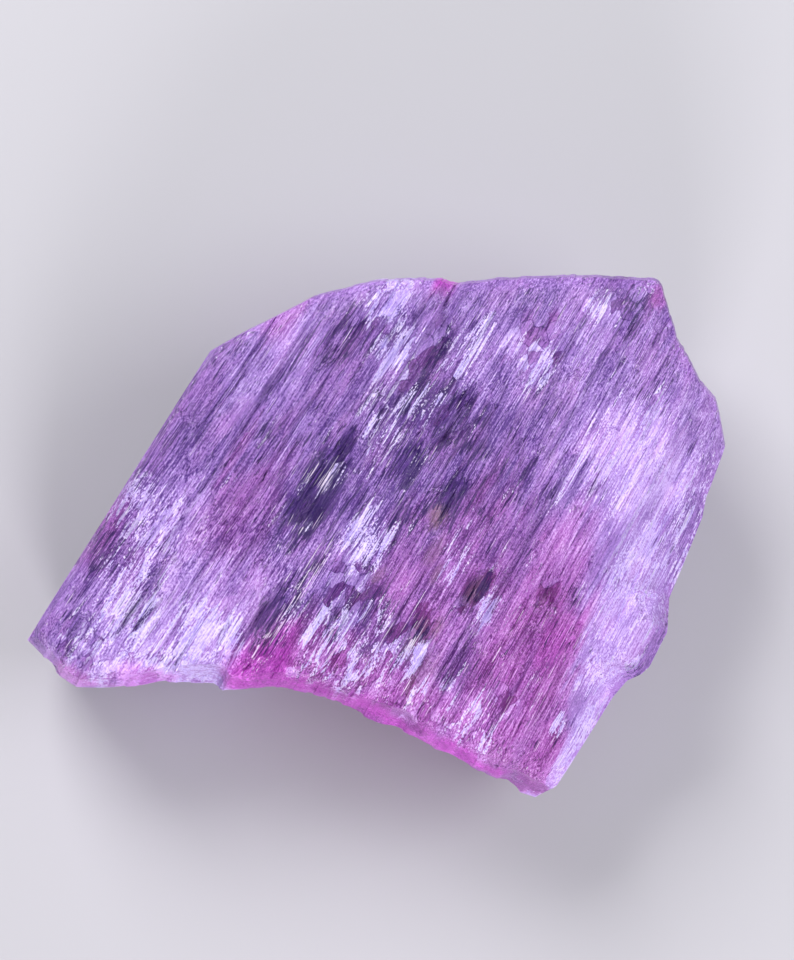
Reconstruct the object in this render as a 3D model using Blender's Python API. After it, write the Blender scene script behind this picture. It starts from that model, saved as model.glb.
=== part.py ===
"""A kunzite crystal: one stout striated blade of pink-violet spodumene, lying on its flat back.

The crystal's long axis, which its grooves follow, lies along Y. X runs across the blade and Z through it.
The origin is on the surface that the crystal rests on, under the middle of its outline.
Sizes are in millimetres and are turned to metres when the mesh is made.
"""

import bmesh
import bpy
import numpy as np

for old in list(bpy.data.objects):
    bpy.data.objects.remove(old, do_unlink=True)

MM = 0.001

# Driving dimensions
LENGTH = 55.8
WIDTH = 46.0
THICKNESS = 16.0
HALF_LENGTH = LENGTH / 2
HALF_WIDTH = WIDTH / 2

# The natural end of the crystal, as (x, y) from the left prism edge over the blunt point to the right
# shoulder. The small dip at x = -8.4 is where a cleft opens at the rim.
TOP_EDGE = [
    (-23.0, 2.3),
    (-20.9, 6.1),
    (-17.7, 11.5),
    (-14.1, 15.2),
    (-9.5, 18.3),
    (-8.4, 18.5),
    (-5.8, 20.6),
    (1.3, 25.5),
    (5.8, 27.9),
    (6.4, 27.8),
    (9.9, 24.7),
    (13.7, 22.7),
    (15.5, 22.2),
    (18.4, 19.4),
]

# The broken end, as (x, y) from the lower left tip along the ragged break to the lower right corner.
BROKEN_EDGE = [
    (-23.0, -26.8),
    (-20.6, -27.3),
    (-19.0, -27.9),
    (-17.2, -27.9),
    (-14.9, -26.4),
    (-9.8, -22.8),
    (-7.7, -21.4),
    (-6.5, -21.4),
    (-3.6, -19.2),
    (-1.6, -18.1),
    (2.3, -17.0),
    (6.4, -16.6),
    (7.7, -16.1),
    (12.2, -15.9),
    (18.1, -15.1),
    (19.7, -15.3),
    (21.0, -15.0),
]

# The right flank, as (y, x) from the lower right corner up to the shoulder, with the ledge that juts out
# half-way.
RIGHT_EDGE = [
    (-15.0, 21.0),
    (-12.9, 21.8),
    (-4.0, 21.8),
    (-2.2, 22.0),
    (-1.1, 22.7),
    (-0.2, 23.0),
    (3.1, 22.7),
    (5.7, 21.3),
    (8.7, 20.8),
    (13.0, 20.0),
    (14.5, 19.4),
    (19.4, 18.4),
]

# How far each side draws in from the outline, as (share of the thickness, distance), from the back to the
# front.
LEFT_INSET = [(0.0, 3.4), (0.3, 0.25), (0.34, 0.0), (0.62, 0.0), (0.66, 0.2), (0.92, 0.2), (1.0, 1.2)]
RIGHT_INSET = [(0.0, 4.2), (0.12, 3.4), (0.16, 2.7), (0.5, 0.3), (0.54, 0.0), (1.0, 0.0)]
TOP_INSET = [(0.0, 5.4), (0.45, 2.6), (0.5, 2.2), (0.86, 0.0), (1.0, 0.7)]
BROKEN_INSET = [(0.0, 2.2), (0.16, 0.7), (0.3, 1.3), (0.62, 0.0), (0.86, 0.5), (1.0, 1.5)]
DEPTH_STATIONS = [0.0, 0.12, 0.16, 0.3, 0.34, 0.5, 0.54, 0.62, 0.66, 0.86, 0.92, 1.0]

# How far the face falls towards each edge, as (distance from the edge, fall).
LEFT_FALL = [(0.0, 0.5), (1.1, 0.0)]
RIGHT_FALL = [(0.0, 3.6), (1.8, 2.0), (5.5, 0.25), (6.5, 0.0)]
TOP_FALL = [(0.0, 0.7), (1.0, 0.25), (3.0, 0.0)]
BROKEN_FALL = [(0.0, 0.9), (1.1, 0.3), (2.6, 0.0)]

# The broad facets of the face, as (x, fall): it is highest along a ridge right of the middle. The whole
# face lies a little under the full thickness, which only its highest laths reach.
BROAD_FALL = [(-23.0, 1.0), (-7.0, 0.25), (2.0, 0.0), (9.0, 0.05), (17.0, 0.5), (23.0, 0.9)]
FACE_DEPTH = 0.55

# The laths aren't quite parallel. They lean to the left as they run up, the more the further right they lie,
# so that they close up like a fan. Lean is the step to the left for each step up: its value on the lath that
# starts at x = 0, and its growth for each millimetre to the right. A lath's name is its x at y = 0.
LEAN_MIDDLE = 0.0244
LEAN_GROWTH = 0.00293

# The columns of the mesh keep to their own lath, apart from the outer ones, which follow the edges.
OUTER_LEFT = -20.7
OUTER_RIGHT = 17.2

# The face is a bundle of flat laths, side by side, each with a few etched steps along its length.
LATH_SEED = 11
LATH_WIDTHS = (0.6, 1.9)
LATH_RELIEF = 0.26
LATH_STEPS = 4
LATH_STEPS_REACH = 24.0
LATH_STEP_HEIGHT = 0.3
LEVEL_KEPT = 0.4
STEP_RAMP = 0.45
RISER = 0.16
END_STAGGER = 0.22

# Etched hollows in the face, as (x, y, half width, half length, depth).
HOLLOWS = [
    (-16.3, -18.9, 1.7, 2.4, 0.9),
    (-1.8, -8.5, 1.3, 3.0, 1.0),
    (6.9, -2.2, 1.2, 2.0, 1.1),
    (12.2, 0.5, 0.8, 1.5, 0.5),
    (-8.8, -2.1, 1.5, 4.6, 1.2),
    (-13.9, 9.3, 1.1, 2.6, 0.8),
    (-2.3, 9.1, 1.0, 2.2, 0.9),
    (1.1, 3.4, 1.0, 2.0, 0.9),
    (-6.1, -12.7, 1.0, 2.8, 0.8),
    (-19.6, -23.0, 0.8, 1.4, 0.7),
    (12.6, 18.0, 1.3, 2.8, 0.7),
]
HOLLOW_WALL = 0.5
HOLLOW_POINT = 0.35
HOLLOW_SHOULDER = 0.2

# Raised plates, in the same terms: the ledge on the right flank, the frosted plates and the lump near the
# point.
PLATES = [
    (21.0, 1.4, 2.6, 4.2, 1.6),
    (-18.4, -2.4, 1.9, 5.0, 0.5),
    (-10.6, 16.0, 1.6, 2.6, 0.4),
    (4.0, 12.4, 2.0, 3.4, 0.4),
    (2.6, -14.0, 1.1, 2.4, 0.5),
]

# The cleft that opens at the top rim: its two ends, half width and depth.
CLEFT_FROM = (-9.2, 19.4)
CLEFT_TO = (-5.4, 10.7)
CLEFT_HALF_WIDTH = 0.75
CLEFT_DEPTH = 1.3
CLEFT_REACH = 1.15
CLEFT_THINNEST = 0.01

# The lower left plate stands lower than the rest of the face, past a sharp step along one lath on its right
# and a ragged step above.
LOW_PLATE_RIGHT = -7.2
LOW_PLATE_TOP = -9.0
LOW_PLATE_RAGGED = 9.0
LOW_PLATE_RAMP = 1.6
LOW_PLATE_DROP = 0.5

# Shell-shaped hollows in the broken end, as (lath, share of the thickness, half width, half share, depth).
# They lie above and below the level at which the break reaches furthest.
SCOOPS = [
    (-18.0, 0.28, 3.2, 0.3, 0.9),
    (-9.5, 0.92, 4.4, 0.26, 1.3),
    (-1.5, 0.25, 3.6, 0.3, 1.2),
    (5.5, 0.92, 3.4, 0.26, 1.0),
    (11.5, 0.28, 4.2, 0.3, 1.4),
    (18.5, 0.9, 2.6, 0.25, 0.8),
]

# Shallow channels in the flat back, as (first lath, last lath, depth).
BACK_CHANNELS = [(-15.2, -12.6, 0.45), (9.8, 11.6, 0.35), (13.4, 14.6, 0.6)]

# The mesh: the widest a column may be, the rows along the crystal, and the angle under which faces count as
# flat.
COLUMN_WIDTH = 0.8
ROWS = 40
FLAT_ANGLE = 0.006

COLOUR = (0.52, 0.30, 0.62, 1.0)
ROUGHNESS = 0.2
CLEARNESS = 0.7
REFRACTIVE_INDEX = 1.66


def broken_line(points, at):
    """The value at each position asked for, on straight runs between (position, value) points."""
    positions, values = zip(*points)
    return np.interp(at, positions, values)


def lath_at(x, y):
    """The name of the lath that runs through a place."""
    return (x + LEAN_MIDDLE * y) / (1.0 - LEAN_GROWTH * y)


def x_of(lath, y):
    """The x of a lath at some y."""
    return lath - (LEAN_MIDDLE + LEAN_GROWTH * lath) * y


def lath_edges(rng):
    """The laths' boundaries, each by its x at y = 0."""
    edges = [OUTER_LEFT + rng.uniform(*LATH_WIDTHS)]
    while edges[-1] < OUTER_RIGHT + LATH_WIDTHS[0]:
        edges.append(edges[-1] + rng.uniform(*LATH_WIDTHS))
    return edges


def lath_heights(rng, count):
    """For each lath its height along y, as (y, height) points: flat stretches joined by short ramps."""
    laths = []
    for _ in range(count):
        level = rng.uniform(-LATH_RELIEF, LATH_RELIEF)
        points = []
        for y in np.sort(rng.uniform(-LATH_STEPS_REACH, LATH_STEPS_REACH, LATH_STEPS)):
            points.append((y - STEP_RAMP, level))
            level = LEVEL_KEPT * level + rng.uniform(-LATH_STEP_HEIGHT, LATH_STEP_HEIGHT)
            points.append((y + STEP_RAMP, level))
        laths.append(points)
    return laths


RNG = np.random.default_rng(LATH_SEED)
LATH_EDGES = lath_edges(RNG)
LATHS = lath_heights(RNG, len(LATH_EDGES) + 1)
LATH_ENDS = RNG.uniform(-END_STAGGER, END_STAGGER, (2, len(LATHS)))

# The two ends again, as (lath, y).
TOP_LINE = [(lath_at(x, y), y) for x, y in TOP_EDGE]
BROKEN_LINE = [(lath_at(x, y), y) for x, y in BROKEN_EDGE]


def across_laths(lath, values):
    """One value for each lath, passed from lath to lath through the narrow riser between them."""
    total = values[0]
    for n, edge in enumerate(LATH_EDGES):
        share = np.clip((lath - edge) / RISER + 0.5, 0.0, 1.0)
        total = total + share * (values[n + 1] - values[n])
    return total


def patch(lath, y, cx, cy, half_width, half_length):
    """1 on a flat patch with six straight sides, along its lath, falling to 0 over its sloping wall."""
    across = np.abs(lath - lath_at(cx, cy)) / half_width
    along = np.abs(y - cy) / half_length
    rise = 1.0 - np.maximum(across, along + HOLLOW_POINT * across - HOLLOW_SHOULDER)
    return np.clip(rise / HOLLOW_WALL, 0.0, 1.0)


def cleft(x, y):
    """The depth of the wedge-shaped cleft, deepest at the rim."""
    start = np.array(CLEFT_FROM)
    run = np.array(CLEFT_TO) - start
    length = np.hypot(*run)
    along = ((x - start[0]) * run[0] + (y - start[1]) * run[1]) / length
    aside = np.abs((x - start[0]) * run[1] - (y - start[1]) * run[0]) / length
    width = CLEFT_HALF_WIDTH * np.clip(CLEFT_REACH - along / length, 0.0, 1.0)
    return CLEFT_DEPTH * np.clip(1.0 - aside / np.maximum(width, CLEFT_THINNEST), 0.0, 1.0)


def low_plate(lath, y):
    """1 on the lower left plate, whose upper end is ragged from lath to lath."""
    end = LOW_PLATE_TOP + LOW_PLATE_RAGGED * across_laths(lath, LATH_ENDS[0])
    left_of = np.clip((LOW_PLATE_RIGHT - lath) / RISER + 0.5, 0.0, 1.0)
    return left_of * np.clip((end - y) / LOW_PLATE_RAMP, 0.0, 1.0)


def scoops(lath, depth):
    """How far the shell-shaped hollows draw the broken end in."""
    drawn = np.zeros_like(lath)
    for middle, share, half_width, half_share, hollow in SCOOPS:
        away = ((lath - middle) / half_width) ** 2 + ((depth - share) / half_share) ** 2
        drawn = np.maximum(drawn, hollow * np.clip(1.0 - away, 0.0, 1.0))
    return drawn


def face_height(lath, y):
    """The height of the striated face over the back."""
    x = x_of(lath, y)
    height = THICKNESS - FACE_DEPTH + across_laths(lath, [broken_line(points, y) for points in LATHS])
    height = height - broken_line(BROAD_FALL, x) - LOW_PLATE_DROP * low_plate(lath, y) - cleft(x, y)
    for cx, cy, half_width, half_length, depth in HOLLOWS:
        height = height - depth * patch(lath, y, cx, cy, half_width, half_length)
    height = height - broken_line(LEFT_FALL, x + HALF_WIDTH - LEFT_INSET[-1][1])
    height = height - broken_line(RIGHT_FALL, broken_line(RIGHT_EDGE, y) - x)
    height = height - broken_line(TOP_FALL, broken_line(TOP_EDGE, x) - TOP_INSET[-1][1] - y)
    height = height - broken_line(BROKEN_FALL, y - broken_line(BROKEN_EDGE, x) - BROKEN_INSET[-1][1])
    for cx, cy, half_width, half_length, rise in PLATES:
        height = height + rise * patch(lath, y, cx, cy, half_width, half_length)
    return np.minimum(height, THICKNESS)


def back_height(lath):
    """The height of the back: flat, with a few shallow channels along the laths."""
    height = np.zeros_like(lath)
    for first, last, depth in BACK_CHANNELS:
        inside = np.minimum(lath - first, last - lath) / RISER
        height = height + depth * np.clip(inside, 0.0, 1.0)
    return height


def column_stations():
    """The columns of the mesh: both feet of every riser, and more where a lath is wide."""
    kinks = {-HALF_WIDTH, OUTER_LEFT, HALF_WIDTH}
    for edge in (*LATH_EDGES, LOW_PLATE_RIGHT):
        kinks.update((edge - RISER / 2, edge + RISER / 2))
    kinks = sorted(kinks)
    stations = []
    for start, end in zip(kinks, kinks[1:]):
        pieces = max(1, round((end - start) / COLUMN_WIDTH))
        stations.extend(np.linspace(start, end, pieces, endpoint=False))
    return np.array(stations + [HALF_WIDTH])


def placed(column, along, depth):
    """Where a point of the block's skin goes: its column, its share of the length and of the thickness."""
    outer_left = np.clip((OUTER_LEFT - column) / (OUTER_LEFT + HALF_WIDTH), 0.0, 1.0)
    outer_right = np.clip((column - OUTER_RIGHT) / (HALF_WIDTH - OUTER_RIGHT), 0.0, 1.0)
    left_in = broken_line(LEFT_INSET, depth)
    right_in = broken_line(RIGHT_INSET, depth)

    def lath_between(left_edge, right_edge):
        from_left = outer_left * (HALF_WIDTH + left_edge + left_in)
        return column + from_left - outer_right * (HALF_WIDTH - right_edge + right_in)

    at_top = lath_between(TOP_LINE[0][0], TOP_LINE[-1][0])
    at_break = lath_between(BROKEN_LINE[0][0], BROKEN_LINE[-1][0])
    y_top = broken_line(TOP_LINE, at_top) - broken_line(TOP_INSET, depth)
    y_top = np.minimum(y_top + across_laths(column, LATH_ENDS[0]), HALF_LENGTH)
    y_break = broken_line(BROKEN_LINE, at_break) + broken_line(BROKEN_INSET, depth)
    y_break = y_break + across_laths(column, LATH_ENDS[1]) + scoops(at_break, depth)
    y_break = np.maximum(y_break, -HALF_LENGTH)
    y = y_break + along * (y_top - y_break)
    lath = lath_between(lath_at(-HALF_WIDTH, y), lath_at(broken_line(RIGHT_EDGE, y), y))
    low, high = back_height(lath), face_height(lath, y)
    return np.column_stack((x_of(lath, y), y, low + depth * (high - low)))


def block_skin(stations):
    """The skin of a block of cells: its points, one station on each axis, and its faces, which face out."""
    counts = [len(line) - 1 for line in stations]
    index, faces = {}, []

    def corner(*place):
        return index.setdefault(place, len(index))

    for axis in range(3):
        second, third = (axis + 1) % 3, (axis + 2) % 3
        for a in range(counts[second]):
            for b in range(counts[third]):
                for level in (0, counts[axis]):
                    square = []
                    for da, db in ((0, 0), (1, 0), (1, 1), (0, 1)):
                        place = [0, 0, 0]
                        place[axis], place[second], place[third] = level, a + da, b + db
                        square.append(corner(*place))
                    faces.append(square if level else square[::-1])
    places = np.array([[line[n] for line, n in zip(stations, place)] for place in index])
    return places, faces


def crystal_material():
    material = bpy.data.materials.new("violet_spodumene")
    material.use_nodes = True
    shader = material.node_tree.nodes["Principled BSDF"]
    shader.inputs["Base Color"].default_value = COLOUR
    shader.inputs["Roughness"].default_value = ROUGHNESS
    shader.inputs["Metallic"].default_value = 0.0
    shader.inputs["IOR"].default_value = REFRACTIVE_INDEX
    shader.inputs["Transmission Weight"].default_value = CLEARNESS
    return material


def make_crystal():
    stations = (column_stations(), np.linspace(0.0, 1.0, ROWS + 1), np.array(DEPTH_STATIONS))
    places, faces = block_skin(stations)
    points = placed(*places.T) * MM
    mesh = bpy.data.meshes.new("kunzite_crystal")
    mesh.from_pydata(points.tolist(), [], faces)
    shape = bmesh.new()
    shape.from_mesh(mesh)
    bmesh.ops.triangulate(shape, faces=shape.faces[:])
    bmesh.ops.dissolve_limit(shape, angle_limit=FLAT_ANGLE, verts=shape.verts[:], edges=shape.edges[:])
    bmesh.ops.triangulate(shape, faces=shape.faces[:])
    print("faces", len(shape.faces), "volume in cubic millimetres", round(shape.calc_volume() / MM**3))
    shape.to_mesh(mesh)
    shape.free()
    mesh.materials.append(crystal_material())
    crystal = bpy.data.objects.new("kunzite_crystal", mesh)
    bpy.context.scene.collection.objects.link(crystal)
    return crystal


make_crystal()
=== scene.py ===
# %% [markdown]
# # A kunzite crystal, dressed for a close look
#
# Kunzite is the pink to violet kind of spodumene. This piece is one stout blade: a natural end at the top, a
# break at the bottom, and a broad face that is grooved and etched along its length. The packed solid gives
# its size and its main forms. This script makes the same crystal again in fine steps, paints its soft colour
# zones, and gives it a material that is part clear gem and part silky frost.

# %% Load the packed solid
import math

import bmesh
import bpy
import numpy as np
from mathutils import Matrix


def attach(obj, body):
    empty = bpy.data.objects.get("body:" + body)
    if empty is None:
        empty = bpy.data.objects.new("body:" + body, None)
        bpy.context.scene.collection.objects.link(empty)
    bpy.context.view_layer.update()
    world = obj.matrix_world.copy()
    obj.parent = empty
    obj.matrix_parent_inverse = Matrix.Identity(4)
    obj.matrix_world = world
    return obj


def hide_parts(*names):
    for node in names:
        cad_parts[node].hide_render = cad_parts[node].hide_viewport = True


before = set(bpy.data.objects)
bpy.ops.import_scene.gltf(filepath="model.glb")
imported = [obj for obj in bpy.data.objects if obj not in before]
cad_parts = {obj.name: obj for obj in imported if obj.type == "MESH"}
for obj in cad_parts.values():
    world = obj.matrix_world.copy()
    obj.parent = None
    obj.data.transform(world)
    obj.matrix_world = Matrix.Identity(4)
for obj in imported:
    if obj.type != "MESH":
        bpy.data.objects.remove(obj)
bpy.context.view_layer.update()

NODE = "kunzite_crystal"
SLOT = "violet_spodumene"
MM = 0.001

# %% [markdown]
# ## The outline
#
# Seen from above the blade is a polygon that a draughtsman would set down as short straight runs. Three lists
# give its edges in millimetres: the natural end, the break, and the right flank with its ledge. The left side
# is simply straight. The long axis of the crystal is Y, so everything that grew along the crystal lies along
# Y here too.

# %% Outline and side profiles, in millimetres
LENGTH = 55.8
WIDTH = 46.0
THICKNESS = 16.0
HALF_LENGTH = LENGTH / 2
HALF_WIDTH = WIDTH / 2

TOP_EDGE = [
    (-23.0, 2.3), (-20.9, 6.1), (-17.7, 11.5), (-14.1, 15.2), (-9.5, 18.3), (-8.4, 18.5), (-5.8, 20.6),
    (1.3, 25.5), (5.8, 27.9), (6.4, 27.8), (9.9, 24.7), (13.7, 22.7), (15.5, 22.2), (18.4, 19.4),
]
BROKEN_EDGE = [
    (-23.0, -26.8), (-20.6, -27.3), (-19.0, -27.9), (-17.2, -27.9), (-14.9, -26.4), (-9.8, -22.8),
    (-7.7, -21.4), (-6.5, -21.4), (-3.6, -19.2), (-1.6, -18.1), (2.3, -17.0), (6.4, -16.6), (7.7, -16.1),
    (12.2, -15.9), (18.1, -15.1), (19.7, -15.3), (21.0, -15.0),
]
RIGHT_EDGE = [
    (-15.0, 21.0), (-12.9, 21.8), (-4.0, 21.8), (-2.2, 22.0), (-1.1, 22.7), (-0.2, 23.0), (3.1, 22.7),
    (5.7, 21.3), (8.7, 20.8), (13.0, 20.0), (14.5, 19.4), (19.4, 18.4),
]

# How far each side draws in from the outline, from the back (0) to the face (1).
LEFT_INSET = [(0.0, 3.4), (0.3, 0.25), (0.34, 0.0), (0.62, 0.0), (0.66, 0.2), (0.92, 0.2), (1.0, 0.7)]
RIGHT_INSET = [(0.0, 4.2), (0.12, 3.4), (0.16, 2.7), (0.5, 0.3), (0.54, 0.0), (1.0, 0.0)]
TOP_INSET = [(0.0, 5.4), (0.45, 2.6), (0.5, 2.2), (0.86, 0.0), (1.0, 0.35)]
BROKEN_INSET = [(0.0, 2.2), (0.16, 0.7), (0.3, 1.3), (0.62, 0.0), (0.86, 0.4), (1.0, 1.1)]

# How far the face falls towards each edge, by the distance from it, and over the breadth of the blade.
LEFT_FALL = [(0.0, 0.5), (1.1, 0.0)]
RIGHT_FALL = [(0.0, 3.6), (1.8, 2.0), (5.5, 0.25), (6.5, 0.0)]
TOP_FALL = [(0.0, 0.7), (1.0, 0.25), (3.0, 0.0)]
BROKEN_FALL = [(0.0, 1.2), (0.7, 0.5), (2.6, 0.0)]
BROAD_FALL = [(-23.0, 1.0), (-7.0, 0.25), (2.0, 0.0), (9.0, 0.05), (17.0, 0.5), (23.0, 0.9)]
FACE_DEPTH = 0.55
OUTER_LEFT = -20.7
OUTER_RIGHT = 17.2


def broken_line(points, at):
    """The value at each position asked for, on straight runs between (position, value) points."""
    positions, values = zip(*points)
    return np.interp(at, positions, values)


print("outline points:", len(TOP_EDGE) + len(BROKEN_EDGE) + len(RIGHT_EDGE))

# %% [markdown]
# ## The fan
#
# The grooves look parallel, but they close up a little towards the natural end, like a fan that is nearly
# shut. A place on the crystal is therefore named in two ways: by its x, and by its lath, which is the x that
# the groove through it has at y = 0. Everything that follows the grooves is worked out in laths, and x comes
# last.

# %% From place to lath, and back
LEAN_MIDDLE = 0.0244
LEAN_GROWTH = 0.00293


def lath_at(x, y):
    """The name of the lath that runs through a place."""
    return (x + LEAN_MIDDLE * y) / (1.0 - LEAN_GROWTH * y)


def x_of(lath, y):
    """The x of a lath at some y."""
    return lath - (LEAN_MIDDLE + LEAN_GROWTH * lath) * y


TOP_LINE = [(lath_at(x, y), y) for x, y in TOP_EDGE]
BROKEN_LINE = [(lath_at(x, y), y) for x, y in BROKEN_EDGE]
for lath in (-20.0, 20.0):
    print("lath", lath, "moves", round(x_of(lath, 20.0) - x_of(lath, -20.0), 2), "mm over 40 mm")

# %% [markdown]
# ## Laths
#
# Spodumene grows as a bundle of long flat blades. On the face they show as laths side by side, each a little
# higher or lower than the next, with a sharp riser between them and a few etched steps along their length.
# Noise would give soft waves instead, so the laths are drawn one by one: a random width, a random level, and
# ramps where the level changes. The same rule, run twice, gives the coarse laths of the solid and the fine
# ones that only the eye needs.

# %% Coarse and fine laths
# A lath's steps lie within this distance of the middle, in millimetres, and a step keeps this share of the
# level before it.
STEP_REACH = 24.0
LEVEL_KEPT = 0.4
# How much the coarse and the fine laths each add to the raggedness of an end.
RAGGED_SHARE = 0.6


class Laths:
    """Flat strips side by side along Y, each with its own level, which steps a few times along its length."""

    def __init__(self, seed, widths, relief, steps, step_height, ramp, riser, stagger):
        rng = np.random.default_rng(seed)
        self.riser = riser
        self.edges = [OUTER_LEFT + rng.uniform(*widths)]
        while self.edges[-1] < OUTER_RIGHT + widths[0]:
            self.edges.append(self.edges[-1] + rng.uniform(*widths))
        self.levels = []
        for _ in range(len(self.edges) + 1):
            level = rng.uniform(-relief, relief)
            points = []
            for y in np.sort(rng.uniform(-STEP_REACH, STEP_REACH, steps)):
                points.append((y - ramp, level))
                level = LEVEL_KEPT * level + rng.uniform(-step_height, step_height)
                points.append((y + ramp, level))
            self.levels.append(points)
        self.ends = rng.uniform(-stagger, stagger, (2, len(self.levels)))
        self.shifts = rng.uniform(-1.0, 1.0, len(self.levels))

    def across(self, lath, values):
        """One value for each lath, passed from lath to lath through the narrow riser between them."""
        total = values[0]
        for n, edge in enumerate(self.edges):
            share = np.clip((lath - edge) / self.riser + 0.5, 0.0, 1.0)
            total = total + share * (values[n + 1] - values[n])
        return total

    def height(self, lath, y):
        """How far the laths stand over or under the plain face."""
        return self.across(lath, [broken_line(points, y) for points in self.levels])


COARSE = Laths(11, (0.6, 1.9), relief=0.26, steps=4, step_height=0.3, ramp=0.45, riser=0.16, stagger=0.22)
FINE = Laths(23, (0.22, 0.62), relief=0.045, steps=9, step_height=0.05, ramp=0.12, riser=0.05, stagger=0.12)


def raggedness(lath):
    """A number for each lath, from about -1 to 1. Added to y, it makes what is cut off there end raggedly."""
    return RAGGED_SHARE * (COARSE.across(lath, COARSE.shifts) + FINE.across(lath, FINE.shifts))


print("laths:", len(COARSE.levels), "coarse,", len(FINE.levels), "fine")

# %% [markdown]
# ## Hollows, plates and the cleft
#
# Acid in the rock ate hollows into the face, and left other spots standing. The large ones are named by place
# and size. A hollow is a flat patch with sloping walls and pointed ends, because the crystal dissolves along
# its planes. The small ones are scattered by a seeded draw, more of them low on the face, where the crystal
# is more deeply etched. A wedge-shaped cleft at the upper left, a sunken plate at the lower left and
# shell-shaped scoops in the break come on top of these.

# %% Etched relief
HOLLOWS = [
    (-16.3, -18.9, 1.7, 2.4, 0.7), (-1.8, -8.5, 1.3, 3.0, 0.6), (6.9, -2.2, 1.2, 2.0, 0.5),
    (12.2, 0.5, 0.8, 1.5, 0.4), (-8.8, -2.1, 1.5, 4.6, 0.5), (-13.9, 9.3, 1.1, 2.6, 0.4),
    (-2.3, 9.1, 1.0, 2.2, 0.45), (1.1, 3.4, 1.0, 2.0, 0.45), (-6.1, -12.7, 1.0, 2.8, 0.4),
    (-19.6, -23.0, 0.8, 1.4, 0.6), (12.6, 18.0, 1.3, 2.8, 0.4),
]
PLATES = [
    (21.0, 1.4, 2.6, 4.2, 1.6), (-18.4, -2.4, 1.9, 5.0, 0.5), (-10.6, 16.0, 1.6, 2.6, 0.4),
    (4.0, 12.4, 2.0, 3.4, 0.4), (2.6, -14.0, 1.1, 2.4, 0.5),
]
HOLLOW_WALL = 0.7
# A hollow's ends: how ragged they are, how pointed, and how much the points add to its length.
HOLLOW_RAGGED = 0.3
HOLLOW_POINT = 0.35
HOLLOW_LONGER = 0.2
# A hollow's floor: the share of its depth that all laths have, and the share that differs from lath to lath.
FLOOR_EVEN = 0.7
FLOOR_UNEVEN = 0.3
CLEFT_FROM = (-9.3, 19.4)
CLEFT_TO = (-6.0, 12.0)
CLEFT_HALF_WIDTH = 1.0
CLEFT_POINT = 0.3
CLEFT_RUN_OUT = 1.1
CLEFT_DEPTH = 1.2
LOW_PLATE_RIGHT = -7.2
LOW_PLATE_TOP = -9.0
LOW_PLATE_RAGGED = 9.0
LOW_PLATE_RAMP = 4.0
LOW_PLATE_DROP = 0.5
SCOOPS = [
    (-18.0, 0.28, 3.2, 0.3, 0.9), (-9.5, 0.92, 4.4, 0.26, 1.3), (-1.5, 0.25, 3.6, 0.3, 1.2),
    (5.5, 0.92, 3.4, 0.26, 1.0), (11.5, 0.28, 4.2, 0.3, 1.4), (18.5, 0.9, 2.6, 0.25, 0.8),
]
BACK_CHANNELS = [(-15.2, -12.6, 0.45), (9.8, 11.6, 0.35), (13.4, 14.6, 0.6)]
SMALL_SCOOPS = 46
SCOOP_SEED = 8
SMALL_HOLLOWS = 190
HOLLOW_SEED = 5


def patch(lath, y, uneven, cx, cy, half_width, half_length):
    """1 on a flat patch with six straight sides, along its lath, falling to 0 over its sloping wall."""
    across = np.abs(lath - lath_at(cx, cy)) / half_width
    along = np.abs(y + HOLLOW_RAGGED * half_length * uneven - cy) / half_length
    rise = 1.0 - np.maximum(across, along + HOLLOW_POINT * across - HOLLOW_LONGER)
    return np.clip(rise / HOLLOW_WALL, 0.0, 1.0)


def cleft(x, y):
    """The depth of the wedge-shaped cleft, deepest at the rim."""
    start = np.array(CLEFT_FROM)
    run = np.array(CLEFT_TO) - start
    length = np.hypot(*run)
    along = ((x - start[0]) * run[0] + (y - start[1]) * run[1]) / length
    aside = np.abs((x - start[0]) * run[1] - (y - start[1]) * run[0]) / length
    left = np.clip(CLEFT_RUN_OUT - along / length, 0.0, 1.0)
    share = np.clip(1.0 - aside / (CLEFT_POINT + CLEFT_HALF_WIDTH * left), 0.0, 1.0)
    return CLEFT_DEPTH * left * share * share * (3.0 - 2.0 * share)


def low_plate(lath, y):
    """1 on the lower left plate, whose upper end is ragged from lath to lath."""
    end = LOW_PLATE_TOP + LOW_PLATE_RAGGED * COARSE.across(lath, COARSE.ends[0])
    left_of = np.clip((LOW_PLATE_RIGHT - lath) / COARSE.riser + 0.5, 0.0, 1.0)
    return left_of * np.clip((end - y) / LOW_PLATE_RAMP, 0.0, 1.0)


def scoops(lath, depth):
    """How far the shell-shaped hollows draw the broken end in. Small ones are scattered among the large."""
    rng = np.random.default_rng(SCOOP_SEED)
    small = []
    for _ in range(SMALL_SCOOPS):
        small.append((
            rng.uniform(-22.0, 20.0), rng.uniform(0.0, 1.0), rng.uniform(0.5, 1.6),
            rng.uniform(0.08, 0.2), rng.uniform(0.15, 0.5),
        ))
    drawn = np.zeros_like(lath)
    for middle, share, half_width, half_share, hollow in SCOOPS + small:
        away = ((lath - middle) / half_width) ** 2 + ((depth - share) / half_share) ** 2
        drawn = np.maximum(drawn, hollow * np.clip(1.0 - away, 0.0, 1.0))
    return drawn


def small_hollows(lath, y, uneven):
    """The depth of the scattered small etch pits."""
    rng = np.random.default_rng(HOLLOW_SEED)
    depth = np.zeros_like(lath)
    for _ in range(SMALL_HOLLOWS):
        cx, cy = rng.uniform(-21.0, 20.0), rng.triangular(-22.0, -12.0, 24.0)
        half_width = rng.uniform(0.2, 0.55)
        half_length = half_width * rng.uniform(2.0, 5.5)
        deep = rng.uniform(0.04, 0.2)
        depth = np.maximum(depth, deep * patch(lath, y, uneven, cx, cy, half_width, half_length))
    return depth


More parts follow.
